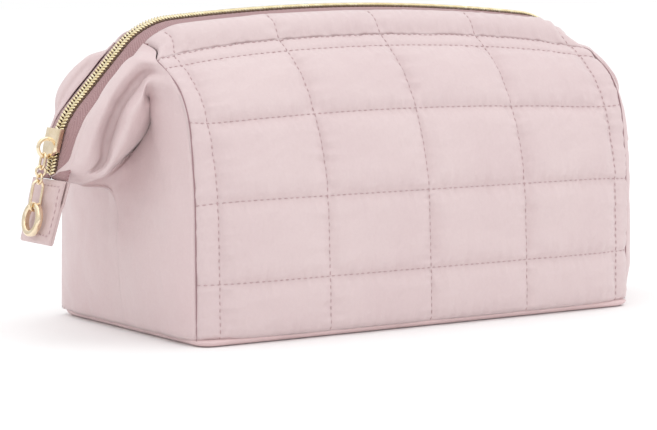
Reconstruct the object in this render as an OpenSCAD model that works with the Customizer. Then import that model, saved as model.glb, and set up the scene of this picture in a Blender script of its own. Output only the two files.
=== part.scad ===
// Quilted makeup bag with a wide mouth: two spring wires in the mouth hems, a zip over the top that
// runs down to a sewn tab at each end, and a slider with a chained ring as its pull.
// +X runs along the bag, the front faces -Y, +Z is up, and the bag rests on Z = 0.

/* [Body] */
// Length of the body between its end walls
body_length = 212; // [190:1:240]
// Half the depth of the body at the base
half_depth = 57.5; // [54:0.5:60]
// Height of the stiff lower part of the walls
wall_height = 54.6; // [50:0.2:56]
// Thickness of the base fabric
base_thickness = 2; // [1.4:0.1:2]

/* [Layers] */
// Thickness of the outer fabric
outer_thickness = 1.2; // [0.8:0.1:1.3]
// Thickness of the wadding behind the quilting
wadding_thickness = 4; // [3:0.1:4.2]
// Thickness of the lining
lining_thickness = 0.8; // [0.5:0.1:1]
// Thickness of the end walls
gusset_thickness = 2; // [1.4:0.1:2]
// Gap left between neighbouring layers
layer_gap = 0.1; // [0.05:0.01:0.2]

/* [Mouth] */
// Height of the zip tape at the middle of the mouth
mouth_height = 125.6; // [124:0.1:127]
// Half the length of the gently arched top
arch_half_length = 86.8; // [84:0.1:88]
// Radius of the arched top
arch_radius = 900; // [800:10:1100]
// Radius of the mouth's corners
corner_radius = 33; // [31:0.5:34]
// Slope of the zip beside the corners
incline = 47; // [45:0.5:49]
// Length of the straight sloping stretch
incline_length = 29; // [28:0.5:30]
// Radius of the bend above each tail
bend_radius = 35; // [34:0.5:36]
// Slope of the zip at its tails
tail_slope = 78; // [76:0.5:80]
// Length of the straight tail above the tab
tail_length = 12; // [11:0.5:13]
// Half the length of the stiff mouth hems
hem_half_length = 91; // [88:0.5:91]

/* [Frame wire] */
// Diameter of the spring wire
wire_diameter = 3; // [2:0.1:3.2]
// Distance of the wire from the zip's centre line
wire_setback = 12.2; // [12:0.1:12.5]
// Depth of the wire below the top of the mouth
wire_drop = 7.8; // [7.5:0.1:8]
// Half the length of the wire's arched bar
wire_half_length = 89.5; // [86:0.5:90]
// Radius of the wire's bends
wire_bend = 22; // [18:1:24]
// Length of the wire's straight legs
wire_leg = 28; // [20:1:30]

/* [Zip] */
// Width of each tape from the centre line
tape_half_width = 12.5; // [12:0.1:12.6]
// Thickness of the tape
tape_thickness = 0.6; // [0.4:0.1:0.7]
// Distance of each tape's edge from the centre line
tape_gap = 0.9; // [0.8:0.05:1.2]
// Width of each coil from the centre line
coil_half_width = 3; // [2.8:0.05:3.2]
// Height of the coil above the tape's middle
coil_height = 1.9; // [1.7:0.05:2]
// Distance of each coil's inner face from the centre line
coil_gap = 0.7; // [0.65:0.05:0.9]

/* [Tab] */
// Width of the folded tab at each end of the zip
tab_width = 26; // [24:0.5:30]
// Length of the folded tab
tab_length = 25; // [20:0.5:28]
// Thickness of each of its two layers
tab_layer = 0.8; // [0.5:0.1:1]
// Angle between the left tab and the vertical
left_lean = 16; // [12:0.5:18]
// Angle between the right tab and the vertical
right_lean = 0; // [0:0.5:12]
// Length of tape sewn into the tab
tab_overlap = 8; // [5:0.5:10]

/* [Slider] */
// Length of the slider
slider_length = 12; // [11:0.25:12.5]
// Width of the slider
slider_width = 9.2; // [9:0.1:9.6]
// Thickness of its plates
plate_thickness = 1.3; // [1:0.1:1.4]
// Middle radius of the loop that holds the pull
loop_radius = 3.55; // [3.4:0.05:3.6]
// Diameter of the loop's bar
loop_bar = 1.5; // [1.3:0.05:1.6]

/* [Pull] */
// Diameter of the small links' wire
link_wire = 1; // [0.9:0.05:1]
// Diameter of the long link's wire
long_wire = 1.1; // [1:0.05:1.1]
// Inner radius of the ring at the end
ring_inner = 4.2; // [4:0.1:4.5]
// Outer radius of the ring
ring_outer = 6.7; // [6.4:0.1:7]
// Thickness of the ring
ring_thickness = 2.6; // [2.2:0.1:2.6]

/* [Hidden] */
$fn = 64;
arc_fn = 720;
// Length by which neighbouring runs of a section enter each other.
run_overlap = 0.05;

// Outline of the front wall as [depth, height], where depth is measured forward of the zip.
base_clearance = 0.3;
base_top = base_thickness + base_clearance;
// The walls lean in a little towards their top.
wall_lean = 2.5;
lower_line = [[half_depth, base_top], [half_depth - 0.7, 23.3], [half_depth - wall_lean, wall_height]];
// The upper wall's outline starts this far below its level cut.
upper_run_in = 8;
upper_line = [
    [half_depth - wall_lean, wall_height - upper_run_in], [52, 71], [46, 86.3], [38.5, 100], [28.2, 109]
];
wall_seam = 0.4;
upper_bottom = wall_height + wall_seam;
outer_face = [0, outer_thickness];
wadding_face = [outer_face[1] + layer_gap, outer_face[1] + layer_gap + wadding_thickness];
lining_face = [wadding_face[1] + layer_gap, wadding_face[1] + layer_gap + lining_thickness];

half_length = body_length / 2;
gusset_inner = half_length - gusset_thickness;
wadding_half = gusset_inner - 2 * layer_gap;
gusset_lining_inner = gusset_inner - layer_gap - lining_thickness;
lining_half = gusset_lining_inner - layer_gap;
panel_half = half_length - layer_gap;
upper_inset = 1;
upper_half = half_length - upper_inset;

base_wadding_thickness = 3;
base_wadding_top = base_top + base_wadding_thickness;
base_lining_top = base_wadding_top + layer_gap + lining_thickness;
lining_bottom = base_wadding_top + layer_gap;
base_sheet_half = gusset_lining_inner - layer_gap;
base_wadding_margin = 0.4;
base_lining_margin = 0.6;
gusset_margin = 0.3;

// The zip's path on the left, as [x, z] points with the slope of each.
arch_slope = asin(arch_half_length / arch_radius);
path_top = [0, mouth_height];
path_arch = turned(path_top, arch_radius, 0, arch_slope);
path_corner = turned(path_arch, corner_radius, arch_slope, incline);
path_incline = path_corner - incline_length * heading(incline);
path_bend = turned(path_incline, bend_radius, incline, tail_slope);
path_tail = path_bend - tail_length * heading(tail_slope);
bend_centre = path_incline - bend_radius * outward(incline);

// Section of the mouth hem as [height above the tape, distance forward].
hem_section = [
    [-2, 12.9], [-4.2, 17.4], [-10.4, 20.8], [-14.8, 26.5], [-16.8, 25],
    [-13.6, 18], [-12.3, 9], [-3.8, 8.6], [-3, 12.6]
];
wire_clearance = 0.5;
// Bending draws the wire slightly thinner.
wire_thinning = 0.02;
hem_wire = [-wire_drop, wire_setback];

// The tape lies flat under the slider and falls away beyond it.
tape_flat = 5.2;
tape_fall = 2.2;
tail_fall = 0.1;

arc_steps = 12;
zip_frames = concat(
    arc_frames(path_top, arch_radius, 0, arch_slope),
    arc_frames(path_arch, corner_radius, arch_slope, incline),
    [[path_incline, incline, tape_fall]],
    arc_frames(path_incline, bend_radius, incline, tail_slope),
    [[path_tail, tail_slope, tail_fall]]
);
tape_frames = concat(backwards(sewn_frames(left_lean)), mirrored(sewn_frames(right_lean)));
coil_frames = concat(backwards(zip_frames), mirrored(zip_frames));
coil_section = [
    [coil_height, coil_gap], [coil_height, coil_half_width],
    [tape_thickness / 2, coil_half_width], [tape_thickness / 2, coil_gap]
];

// The tab's layers stay clear of the tape between them, and start a little below its straight tail.
tab_clearance = 0.15;
tab_drop = 0.3;

// The slider sits just above the bend's lower end.
slider_turn = 2;
slider_slope = tail_slope - slider_turn;
slider_gap = 0.4;
under_gap = 1.2;
post_length = 2;
post_half = 0.5;
flange_width = 0.9;
flange_bottom = 0.9;
flange_share = 0.75;
plate_bottom = coil_height + slider_gap;
plate_top = plate_bottom + plate_thickness;
loop_centre = [-2, 4.4];
post_inset = 0.6;
// Share of the slider's width by which its nose is cut back.
nose_share = 0.15;
// Depth by which joined parts of one solid enter each other.
weld = 0.1;

// The pull hangs from the low outer part of the loop and lies along the tab.
hang_angle = 30;
link_play = 0.05;
hang_reach = loop_radius - loop_bar / 2 - link_wire / 2 - link_play;
slider_point = bend_centre + bend_radius * outward(slider_slope);
loop_point = slider_point + loop_centre[0] * heading(slider_slope)
    + loop_centre[1] * outward(slider_slope);
hang_point = loop_point - hang_reach * [sin(hang_angle), cos(hang_angle)];
chain_lean = 12;
oval_half_width = 1.8;
oval_height = 6.2;
round_radius = 2;
small_radius = 1.9;
long_half_width = 2.15;
long_height = 11.5;
link_step = link_wire + link_play;
long_step = link_wire / 2 + long_wire / 2 + link_play;
round_top = oval_height - link_step;
small_top = round_top + 2 * round_radius - link_step;
long_top = small_top + 2 * small_radius - long_step;
// The ring's flat inner face needs more play in the long link's round end.
ring_play = 0.3;
ring_edge = 0.5;
ring_drop = long_top + long_height - long_wire / 2 - ring_play + ring_inner;

// Gusset folds beside the mouth, as points on the front left quarter.
fold_bead = 0.8;
fold_fn = 20;
flap_upper = [[-101, -14.6, 114], [-127, -14.4, 87.5], [-112, -25, 93], [-117, -21, 77]];
flap_lower = [[-127, -14.4, 87.5], [-138.2, -14, 65], [-117, -21, 77], [-124, -14.5, 64]];
fold_wall = [
    [-107, -52.5, 56], [-107, -50.5, 68], [-107, -46.5, 85], [-107, -42, 95], [-107, -28, 105],
    [-112, -25, 93], [-114, -20, 77], [-112.5, -1.2, 62], [-107, -1.2, 56]
];

// Direction of travel up the zip on the left, at a slope.
function heading(slope) = [cos(slope), sin(slope)];

// Direction out of the bag at a slope.
function outward(slope) = [-sin(slope), cos(slope)];

// End of an arc that leads down to the left from a point.
function turned(start, radius, from, to) = start + radius * (outward(to) - outward(from));

function unit(v) = v / norm(v);

// Direction of an outline at one of its points.
function along(line, i) = unit(line[min(i + 1, len(line) - 1)] - line[max(i - 1, 0)]);

// An outline moved inwards, square to itself, by a distance.
function inset(line, distance) = [
    for (i = [0 : len(line) - 1]) line[i] + distance * [-along(line, i)[1], along(line, i)[0]]
];

// A list in the opposite order.
function backwards(line) = [for (i = [len(line) - 1 : -1 : 0]) line[i]];

// Frames along an arc of the zip's path after its start, as [point, slope, fall of the tape's edge].
function arc_frames(start, radius, from, to) = [
    for (i = [1 : arc_steps])
        let (slope = from + (to - from) * i / arc_steps)
            [turned(start, radius, from, slope), slope, tape_fall]
];

// The same frames on the right end of the bag.
function mirrored(frames) = [for (f = frames) [[-f[0][0], f[0][1]], -f[1], f[2]]];

// The frames down to where the tape ends between the layers of a leaning tab.
function sewn_frames(lean) =
    concat(zip_frames, [[path_tail - tab_overlap * heading(90 - lean), 90 - lean, tail_fall]]);

// Outline of the front tape as [height above its middle, distance forward].
function tape_section(fall) = let (half = tape_thickness / 2) [
    [half, tape_gap], [half, tape_flat], [half - fall, tape_half_width],
    [-half - fall, tape_half_width], [-half, tape_flat], [-half, tape_gap]
];

// A section placed in a frame.
function ring(frame, section) = [
    for (p = section)
        let (at = frame[0] + p[0] * outward(frame[1]))
            [at[0], -p[1], at[1]]
];

// Section of a layer of the front wall, as [height, depth], between two distances in from its face.
module layer_section(line, face) {
    polygon([
        for (p = concat(inset(line, face[0]), backwards(inset(line, face[1]))))
            [p[1], p[0]]
    ]);
}

// A layer of the stiff lower wall.
module lower_layer(face, half) {
    translate([-half, 0, 0])
        rotate([180, -90, 0])
            linear_extrude(2 * half)
                layer_section(lower_line, face);
}

// A layer of the upper wall. It arches with the mouth and is cut level where it meets the lower wall.
module upper_layer(face, half) {
    intersection() {
        arch_run(asin(half / arch_radius), arch_radius)
            translate([-mouth_height, 0])
                layer_section(upper_line, face);
        translate([-half, -half_depth, upper_bottom])
            cube([2 * half, half_depth, mouth_height]);
    }
}

// A copy on the back of the bag.
module at_back() {
    mirror([0, 1, 0]) children();
}

// A copy on the right end of the bag.
module at_right() {
    mirror([1, 0, 0]) children();
}

// A section carried round an arc of the zip's path, down to the left.
module arc_run(start, radius, from, to) {
    translate([start[0], 0, start[1]])
        rotate([0, -from, 0])
            translate([0, 0, -radius])
                rotate([90, 0, 0])
                    rotate([0, 0, 90])
                        rotate_extrude(angle = to - from, $fn = arc_fn)
                            translate([radius, 0])
                                children();
}

// A section carried along a straight stretch of the zip's path, down to the left.
module straight_run(start, slope, length) {
    translate([start[0], 0, start[1]])
        rotate([0, -slope, 0])
            translate([-length - run_overlap, 0, 0])
                rotate([180, -90, 0])
                    linear_extrude(length + 2 * run_overlap)
                        children();
}

// A section carried over the arched top, from one corner to the other.
module arch_run(reach, radius) {
    turn = reach + asin(run_overlap / radius);
    translate([0, 0, mouth_height - radius])
        rotate([90, 0, 0])
            rotate([0, 0, 90 - turn])
                rotate_extrude(angle = 2 * turn, $fn = arc_fn)
                    translate([radius, 0])
                        children();
}

// A solid through a row of rings that all have the same number of points.
module swept(rings) {
    count = len(rings[0]);
    last = len(rings) - 1;
    polyhedron(
        points = [for (r = rings) each r],
        faces = concat(
            [[for (k = [0 : count - 1]) k]],
            [[for (k = [count - 1 : -1 : 0]) last * count + k]],
            [
                for (i = [0 : last - 1], k = [0 : count - 1])
                    let (next = (k + 1) % count)
                        [i * count + k, (i + 1) * count + k, (i + 1) * count + next, i * count + next]
            ]
        )
    );
}

// A flat sheet inside the base.
module base_sheet(bottom, top, half_x, half_y) {
    translate([-half_x, -half_y, bottom])
        cube([2 * half_x, 2 * half_y, top - bottom]);
}

module base_panel() {
    color("#c9a3a3")
        base_sheet(0, base_thickness, half_length, half_depth);
}

module base_wadding() {
    color("#e8e2dc")
        base_sheet(base_top, base_wadding_top, base_sheet_half,
            half_depth - lining_face[1] - base_wadding_margin);
}

module base_lining() {
    color("#d7b9b8")
        base_sheet(lining_bottom, base_lining_top, base_sheet_half,
            half_depth - lining_face[1] - base_lining_margin);
}

module front_panel() {
    color("#e2d0d0") lower_layer(outer_face, panel_half);
}

module front_wadding() {
    color("#e8e2dc") lower_layer(wadding_face, wadding_half);
}

module front_lining() {
    color("#d7b9b8") lower_layer(lining_face, lining_half);
}

module front_panel_upper() {
    color("#e2d0d0") upper_layer(outer_face, upper_half);
}

module front_wadding_upper() {
    color("#e8e2dc") upper_layer(wadding_face, wadding_half);
}

module front_lining_upper() {
    color("#d7b9b8") upper_layer(lining_face, lining_half);
}

// An end wall, between the front and the back, from one distance along the bag to another.
module end_wall(inner, outer, bottom, margin) {
    low = half_depth - margin;
    high = low - wall_lean;
    translate([-outer, 0, 0])
        rotate([180, -90, 0])
            linear_extrude(outer - inner)
                polygon([[bottom, -low], [bottom, low], [wall_height, high], [wall_height, -high]]);
}

module left_gusset() {
    color("#d8c0c0")
        end_wall(gusset_inner, half_length, base_top, outer_face[1] + gusset_margin);
}

module left_gusset_lining() {
    color("#d7b9b8")
        end_wall(gusset_lining_inner, gusset_inner - layer_gap, base_top, wadding_face[1] + gusset_margin);
}

// A pad of folded cloth between points.
module fold_pad(points) {
    hull()
        for (p = points)
            translate(p) sphere(fold_bead, $fn = fold_fn);
}

module left_bellows_front() {
    color("#dbc3c4") {
        fold_pad(flap_upper);
        fold_pad(flap_lower);
        fold_pad(fold_wall);
    }
}

module front_hem() {
    color("#e2d0d0")
        arch_run(asin(hem_half_length / arch_radius), arch_radius)
            difference() {
                polygon(hem_section);
                translate(hem_wire) circle(wire_diameter / 2 + wire_clearance);
            }
}

// The frame wire: an arched bar along the mouth with a leg bent down at each end.
module front_wire() {
    bar_radius = arch_radius - wire_drop;
    bar_slope = asin(wire_half_length / bar_radius);
    bar_end = turned([0, mouth_height - wire_drop], bar_radius, 0, bar_slope);
    leg_start = turned(bar_end, wire_bend, bar_slope, incline);
    color("#b8bcc0") {
        arch_run(bar_slope, arch_radius)
            translate(hem_wire) circle(wire_diameter / 2);
        for (side = [0, 1]) {
            mirror([side, 0, 0]) {
                arc_run(bar_end, wire_bend, bar_slope, incline)
                    translate([0, wire_setback]) circle(wire_diameter / 2 - wire_thinning);
                straight_run(leg_start, incline, wire_leg)
                    translate([0, wire_setback]) circle(wire_diameter / 2 - 2 * wire_thinning);
            }
        }
    }
}

module front_zip_tape() {
    color("#c39f98")
        swept([for (f = tape_frames) ring(f, tape_section(f[2]))]);
}

module front_zip_coil() {
    color("#d8b98c")
        swept([for (f = coil_frames) ring(f, coil_section)]);
}

// A tab on the left: a strip folded double over the tape's ends, with its fold at the bottom.
module zip_tab(lean) {
    pocket = tape_thickness / 2 + tab_clearance;
    face = pocket + tab_layer;
    color("#c8b0ae")
        translate([path_tail[0], 0, path_tail[1]])
            rotate([0, lean, 0])
                difference() {
                    union() {
                        translate([-face, -tab_width / 2, face - tab_length])
                            cube([2 * face, tab_width, tab_length - face - tab_drop]);
                        translate([0, tab_width / 2, face - tab_length])
                            rotate([90, 0, 0])
                                cylinder(h = tab_width, r = face);
                    }
                    translate([-pocket, -tab_width, -tab_length + 2 * face])
                        cube([2 * pocket, 2 * tab_width, tab_length]);
                }
}

// The slider's own frame: X up the zip, Z out of the bag.
module at_slider() {
    translate([bend_centre[0], 0, bend_centre[1]])
        rotate([0, -slider_slope, 0])
            translate([0, 0, bend_radius])
                children();
}

// A slider plate: square at the top and rounded to a nose at the bottom.
module slider_plate(bottom, thickness) {
    nose = slider_width * nose_share;
    shoulder = slider_length / 2 - slider_width / 2;
    translate([0, 0, bottom])
        linear_extrude(thickness)
            union() {
                translate([-shoulder, -slider_width / 2])
                    square([slider_length / 2 + shoulder, slider_width]);
                intersection() {
                    translate([-shoulder, 0]) circle(slider_width / 2);
                    translate([-slider_length, -slider_width / 2])
                        square([slider_length - nose, slider_width]);
                }
            }
}

module zip_slider() {
    flange_height = plate_bottom - flange_bottom;
    flange_start = (0.5 - flange_share) * slider_length;
    flange_middle = (slider_width - flange_width) / 2;
    color("#e3c79b")
        at_slider() {
            slider_plate(plate_bottom, plate_thickness);
            slider_plate(-under_gap - plate_thickness, plate_thickness);
            for (side = [-1, 1])
                translate([flange_start, side * flange_middle, flange_bottom])
                    translate([0, -flange_width / 2, 0])
                        cube([slider_length * flange_share, flange_width, flange_height + weld]);
            translate([post_inset - slider_length / 2, -post_half, -under_gap - weld])
                cube([post_length, 2 * post_half, plate_bottom + under_gap + 2 * weld]);
            difference() {
                translate([loop_centre[0], 0, loop_centre[1]])
                    rotate([90, 0, 0])
                        rotate_extrude()
                            translate([loop_radius, 0]) circle(loop_bar / 2);
                translate([-slider_length, -slider_width / 2, plate_bottom - slider_length])
                    cube([2 * slider_length, slider_width, slider_length + 2 * weld]);
            }
        }
}

// The pull's own frame: down the chain is -Z from where it hangs.
module at_chain(drop) {
    translate([hang_point[0], 0, hang_point[1]])
        rotate([0, chain_lean, 0])
            translate([0, 0, -drop])
                children();
}

// A link of round wire in the XZ plane, with its top wire's centre at the origin.
module link(half_width, height, wire) {
    straight = height - 2 * half_width;
    for (end = [0, 1])
        translate([0, 0, -half_width - end * straight])
            rotate([90, 180 * end, 0])
                rotate_extrude(angle = 180)
                    translate([half_width, 0]) circle(wire / 2);
    if (straight > 0)
        for (side = [-1, 1])
            translate([side * half_width, 0, -half_width - straight])
                cylinder(h = straight, d = wire);
}

module oval_link() {
    color("#e3c79b")
        at_chain(0) rotate([0, 0, 90]) link(oval_half_width, oval_height, link_wire);
}

module round_link() {
    color("#e3c79b")
        at_chain(round_top) link(round_radius, 2 * round_radius, link_wire);
}

module small_link() {
    color("#e3c79b")
        at_chain(small_top) rotate([0, 0, 90]) link(small_radius, 2 * small_radius, link_wire);
}

module long_link() {
    color("#e3c79b")
        at_chain(long_top) link(long_half_width, long_height, long_wire);
}

module pull_ring() {
    color("#e3c79b")
        at_chain(ring_drop)
            rotate([0, 90, 0])
                rotate_extrude()
                    polygon([
                        [ring_inner, ring_edge - ring_thickness / 2],
                        [ring_inner + ring_edge, -ring_thickness / 2],
                        [ring_outer - ring_edge, -ring_thickness / 2],
                        [ring_outer, ring_edge - ring_thickness / 2],
                        [ring_outer, ring_thickness / 2 - ring_edge],
                        [ring_outer - ring_edge, ring_thickness / 2],
                        [ring_inner + ring_edge, ring_thickness / 2],
                        [ring_inner, ring_thickness / 2 - ring_edge]
                    ]);
}

base_panel();
base_wadding();
base_lining();
front_panel();
front_wadding();
front_lining();
front_panel_upper();
front_wadding_upper();
front_lining_upper();
at_back() front_panel();  // back_panel
at_back() front_wadding();  // back_wadding
at_back() front_lining();  // back_lining
at_back() front_panel_upper();  // back_panel_upper
at_back() front_wadding_upper();  // back_wadding_upper
at_back() front_lining_upper();  // back_lining_upper
left_gusset();
left_gusset_lining();
left_bellows_front();
at_back() left_bellows_front();  // left_bellows_back
at_right() left_gusset();  // right_gusset
at_right() left_gusset_lining();  // right_gusset_lining
at_right() left_bellows_front();  // right_bellows_front
at_right() at_back() left_bellows_front();  // right_bellows_back
front_hem();
front_wire();
front_zip_tape();
front_zip_coil();
at_back() front_hem();  // back_hem
at_back() front_wire();  // back_wire
at_back() front_zip_tape();  // back_zip_tape
at_back() front_zip_coil();  // back_zip_coil
zip_tab(left_lean);  // left_zip_tab
at_right() zip_tab(right_lean);  // right_zip_tab
zip_slider();
oval_link();
round_link();
small_link();
long_link();
pull_ring();
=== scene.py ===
"""Quilted makeup bag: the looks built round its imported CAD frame.

Lengths here are millimetres in the frame of the part and become metres where a mesh is made.
The front faces -Y, +X runs along the bag and the zip lies along Y = 0.
"""
import math

import bpy
import numpy as np
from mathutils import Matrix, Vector, noise


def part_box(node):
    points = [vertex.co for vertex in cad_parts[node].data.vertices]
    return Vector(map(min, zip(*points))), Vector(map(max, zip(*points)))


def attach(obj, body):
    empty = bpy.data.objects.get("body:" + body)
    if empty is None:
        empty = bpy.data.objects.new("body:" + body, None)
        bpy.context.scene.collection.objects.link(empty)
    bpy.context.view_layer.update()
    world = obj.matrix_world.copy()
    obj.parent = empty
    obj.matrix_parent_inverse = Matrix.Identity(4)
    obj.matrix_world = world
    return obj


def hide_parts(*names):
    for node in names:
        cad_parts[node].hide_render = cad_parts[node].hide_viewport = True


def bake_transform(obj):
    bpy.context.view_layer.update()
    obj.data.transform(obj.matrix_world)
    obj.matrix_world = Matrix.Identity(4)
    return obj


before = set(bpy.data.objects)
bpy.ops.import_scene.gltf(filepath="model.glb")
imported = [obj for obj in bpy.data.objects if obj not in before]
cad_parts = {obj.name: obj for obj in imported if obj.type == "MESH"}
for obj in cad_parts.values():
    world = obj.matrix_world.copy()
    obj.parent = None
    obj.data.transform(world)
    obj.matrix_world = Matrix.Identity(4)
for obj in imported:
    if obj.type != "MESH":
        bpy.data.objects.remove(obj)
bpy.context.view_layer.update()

MM = 0.001


def node_box(node):
    """Lowest and highest corner of a CAD node, in millimetres."""
    low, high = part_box(node)
    return np.array(low) / MM, np.array(high) / MM


# ---------------------------------------------------------------- camera, floor and light

CAMERA_TARGET = Vector((-10.84, 0, 40.37)) * MM
CAMERA_DISTANCE = 1.016
CAMERA_AZIMUTH = math.radians(-33.9)
CAMERA_ELEVATION = math.radians(5.85)
CAMERA_LENS = 134.9
FLOOR_HALF = 6.0
TENT_SIDE = 0.72
TENT_TOP = 1.35


def make_camera():
    level = math.cos(CAMERA_ELEVATION)
    back = Vector((
        math.sin(CAMERA_AZIMUTH) * level,
        -math.cos(CAMERA_AZIMUTH) * level,
        math.sin(CAMERA_ELEVATION),
    ))
    data = bpy.data.cameras.new("camera")
    data.lens = CAMERA_LENS
    data.sensor_width = 36
    data.clip_start = 0.05
    camera = bpy.data.objects.new("camera", data)
    camera.location = CAMERA_TARGET + back * CAMERA_DISTANCE
    camera.rotation_euler = (-back).to_track_quat("-Z", "Y").to_euler()
    bpy.context.scene.collection.objects.link(camera)
    bpy.context.scene.camera = camera


def area_light(name, location, size, power, colour=(1, 1, 1)):
    """A soft square light aimed at the bag."""
    data = bpy.data.lights.new(name, "AREA")
    data.size = size
    data.energy = power
    data.color = colour
    light = bpy.data.objects.new(name, data)
    light.location = location
    aim = CAMERA_TARGET - Vector(location)
    light.rotation_euler = aim.to_track_quat("-Z", "Y").to_euler()
    bpy.context.scene.collection.objects.link(light)


def soft_world():
    """A white tent: plain white behind the bag, and brighter above than beside it."""
    world = bpy.data.worlds.new("studio")
    world.use_nodes = True
    tree = world.node_tree
    place = tree.nodes.new("ShaderNodeTexCoord")
    parts = tree.nodes.new("ShaderNodeSeparateXYZ")
    tree.links.new(place.outputs["Generated"], parts.inputs[0])
    ramp = tree.nodes.new("ShaderNodeValToRGB")
    tree.links.new(parts.outputs["Z"], ramp.inputs["Fac"])
    ramp.color_ramp.elements[0].color = (TENT_SIDE, TENT_SIDE, TENT_SIDE, 1)
    ramp.color_ramp.elements[1].color = (TENT_TOP, TENT_TOP, TENT_TOP, 1)
    path = tree.nodes.new("ShaderNodeLightPath")
    mixed = tree.nodes.new("ShaderNodeMix")
    mixed.data_type = "RGBA"
    tree.links.new(path.outputs["Is Camera Ray"], mixed.inputs["Factor"])
    tree.links.new(ramp.outputs["Color"], mixed.inputs["A"])
    mixed.inputs["B"].default_value = (1, 1, 1, 1)
    tree.links.new(mixed.outputs["Result"], tree.nodes["Background"].inputs["Color"])
    return world


def make_studio():
    bpy.context.scene.world = soft_world()
    area_light("key", (-0.5, -1.3, 1.7), 1.1, 2.6)
    area_light("top", (0.1, 0.1, 1.7), 1.2, 2)
    area_light("right", (1.5, -1.0, 0.8), 1.0, 2.2)
    mesh = bpy.data.meshes.new("floor")
    corners = [(-1, -1), (1, -1), (1, 1), (-1, 1)]
    mesh.from_pydata([(x * FLOOR_HALF, y * FLOOR_HALF, 0) for x, y in corners], [], [(0, 1, 2, 3)])
    floor = bpy.data.objects.new("floor", mesh)
    mesh.materials.append(paper_material())
    bpy.context.scene.collection.objects.link(floor)
    bpy.context.scene.view_settings.view_transform = "Standard"


# ---------------------------------------------------------------- materials


class Shader:
    """A Principled material with short calls for the nodes that feed it."""

    def __init__(self, name, **sockets):
        self.material = bpy.data.materials.new(name)
        self.material.use_nodes = True
        self.tree = self.material.node_tree
        self.surface = self.tree.nodes["Principled BSDF"]
        for socket, value in sockets.items():
            self.surface.inputs[socket.replace("_", " ")].default_value = value

    def node(self, kind, inputs=(), **settings):
        made = self.tree.nodes.new(kind)
        for key, value in settings.items():
            setattr(made, key, value)
        for socket, value in dict(inputs).items():
            self.feed(value, made.inputs[socket])
        return made

    def feed(self, value, socket):
        if isinstance(value, bpy.types.NodeSocket):
            self.tree.links.new(value, socket)
        else:
            socket.default_value = value

    def coordinates(self, kind="Object"):
        return self.node("ShaderNodeTexCoord").outputs[kind]

    def stretched(self, vector, scale):
        mapped = self.node("ShaderNodeMapping", {"Vector": vector, "Scale": scale})
        return mapped.outputs["Vector"]

    def noise(self, vector, scale, detail=3.0, roughness=0.5):
        made = self.node(
            "ShaderNodeTexNoise",
            {"Vector": vector, "Scale": scale, "Detail": detail, "Roughness": roughness},
        )
        return made.outputs["Fac"]

    def wave(self, vector, scale, direction, distortion=0.0):
        made = self.node(
            "ShaderNodeTexWave",
            {"Vector": vector, "Scale": scale, "Distortion": distortion},
            bands_direction=direction,
        )
        return made.outputs["Fac"]

    def math(self, operation, a, b=0.0):
        made = self.node("ShaderNodeMath", {0: a, 1: b}, operation=operation)
        return made.outputs[0]

    def ramp(self, factor, low, high, start=0.0, end=1.0):
        made = self.node("ShaderNodeValToRGB", {"Fac": factor})
        made.color_ramp.elements[0].position = start
        made.color_ramp.elements[0].color = low
        made.color_ramp.elements[1].position = end
        made.color_ramp.elements[1].color = high
        return made.outputs["Color"]

    def bump(self, height, strength, distance, below=None):
        inputs = {"Height": height, "Strength": strength, "Distance": distance}
        if below is not None:
            inputs["Normal"] = below
        return self.node("ShaderNodeBump", inputs).outputs["Normal"]

    def finish(self, colour=None, normal=None, roughness=None):
        for value, socket in ((colour, "Base Color"), (normal, "Normal"), (roughness, "Roughness")):
            if value is not None:
                self.feed(value, self.surface.inputs[socket])
        return self.material


def srgb(red, green, blue):
    """A screen colour from 0 to 255 as a linear colour."""
    return tuple(
        (c / 12.92 if c <= 0.04045 else ((c + 0.055) / 1.055) ** 2.4)
        for c in (v / 255 for v in (red, green, blue))
    ) + (1.0,)


def paper_material():
    shader = Shader("studio_paper", Roughness=0.9)
    grain = shader.noise(shader.coordinates(), 60)
    return shader.finish(colour=shader.ramp(grain, (0.93, 0.93, 0.93, 1), (0.95, 0.95, 0.95, 1)))


def satin_material(name, light, dark, weave_scale=2600.0, folds=1.0):
    """Smooth woven polyester with fine crossing threads, soft creases and a faint sheen."""
    shader = Shader(name, Sheen_Weight=0.25, Sheen_Roughness=0.4, Specular_IOR_Level=0.35)
    place = shader.coordinates()
    cloud = shader.noise(place, 26, 2)
    fine = shader.noise(place, 900, 2)
    tone = shader.math("ADD", shader.math("MULTIPLY", cloud, 0.7), shader.math("MULTIPLY", fine, 0.3))
    colour = shader.ramp(tone, dark, light, 0.3, 0.7)
    flat = shader.coordinates("UV")
    warp = shader.wave(flat, weave_scale, "X", 0.6)
    weft = shader.wave(flat, weave_scale, "Y", 0.6)
    weave = shader.math("MULTIPLY", warp, weft)
    crease = shader.noise(shader.stretched(place, (1.0, 1.0, 0.5)), 95, 4, 0.6)
    normal = shader.bump(crease, 0.35 * folds, 0.0012)
    normal = shader.bump(weave, 0.12, 0.0002, normal)
    rough = shader.math("ADD", shader.math("MULTIPLY", cloud, 0.12), 0.46)
    return shader.finish(colour, normal, rough)


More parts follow.
